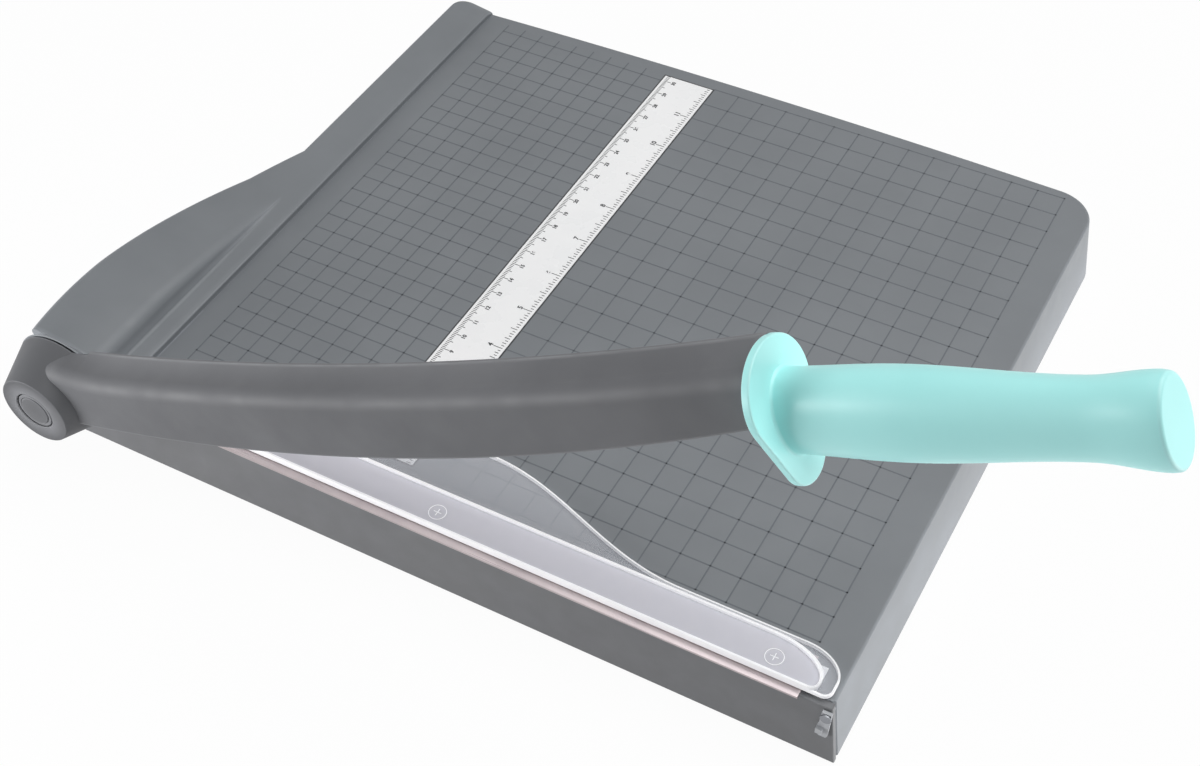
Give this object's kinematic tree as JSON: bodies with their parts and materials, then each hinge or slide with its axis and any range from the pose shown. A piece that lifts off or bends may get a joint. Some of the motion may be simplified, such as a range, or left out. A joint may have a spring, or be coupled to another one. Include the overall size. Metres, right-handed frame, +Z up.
{
  "type": "paper cutter",
  "caption": "Desk guillotine paper cutter: grey board with fence, printed grid and rule, clear finger guard over a steel edge, and a curved blade arm with a mint grip on a side pivot.",
  "frame": {"origin": "middle of the board's footprint on the table, at the bottom of the feet", "axes": "+X along the cutting edge from the pivot to the free end, +Y from the cutting edge to the far edge, +Z up"},
  "size_m": [0.4571, 0.3441, 0.2532],
  "materials": {
    "board_plastic": "fine-textured grey moulding",
    "rail_plastic": "satin grey moulding",
    "arm_plastic": "satin dark grey moulding",
    "edge_steel": "ground steel",
    "screw_steel": "bright zinc plate",
    "spring_steel": "dark spring steel",
    "clear_plastic": "clear moulding",
    "rule_white": "white printed strip",
    "foot_rubber": "matt black rubber",
    "bush_brass": "turned bearing brass",
    "washer_nylon": "natural nylon",
    "grip_mint": "smooth mint moulding",
    "latch_plastic": "satin grey moulding"
  },
  "bodies": {
    "base": {"base_shell": "board_plastic", "front_rail": "rail_plastic", "fence_housing": "board_plastic", "bed_knife": "edge_steel", "bed_knife_screws": "screw_steel", "finger_guard": "clear_plastic", "rule_plate": "rule_white", "rubber_feet": "foot_rubber", "housing_screws": "screw_steel", "rail_screws": "screw_steel", "pivot_bush": "bush_brass", "thrust_washer": "washer_nylon", "hook_pin": "screw_steel"},
    "arm": {"arm_body": "arm_plastic", "blade": "edge_steel", "blade_screws": "screw_steel", "grip": "grip_mint", "grip_tang": "spring_steel", "keeper_plate": "screw_steel", "keeper_rivets": "screw_steel", "pivot_bolt": "screw_steel", "head_washer": "screw_steel", "disc_springs": "spring_steel", "lock_nut": "screw_steel", "pivot_cap": "arm_plastic"},
    "latch": {"lock_hook": "latch_plastic"}
  },
  "joints": [
    {"name": "arm_swing", "type": "hinge", "parent": "base", "child": "arm", "pos_m": [-0.173, -0.16, 0.0426], "axis": [0, -1, 0], "range_deg": [-26, 34]},
    {"name": "latch_turn", "type": "hinge", "parent": "base", "child": "latch", "pos_m": [0.1702, -0.1561, 0.0314], "axis": [0, 1, 0], "range_deg": [0, 25]}
  ]
}
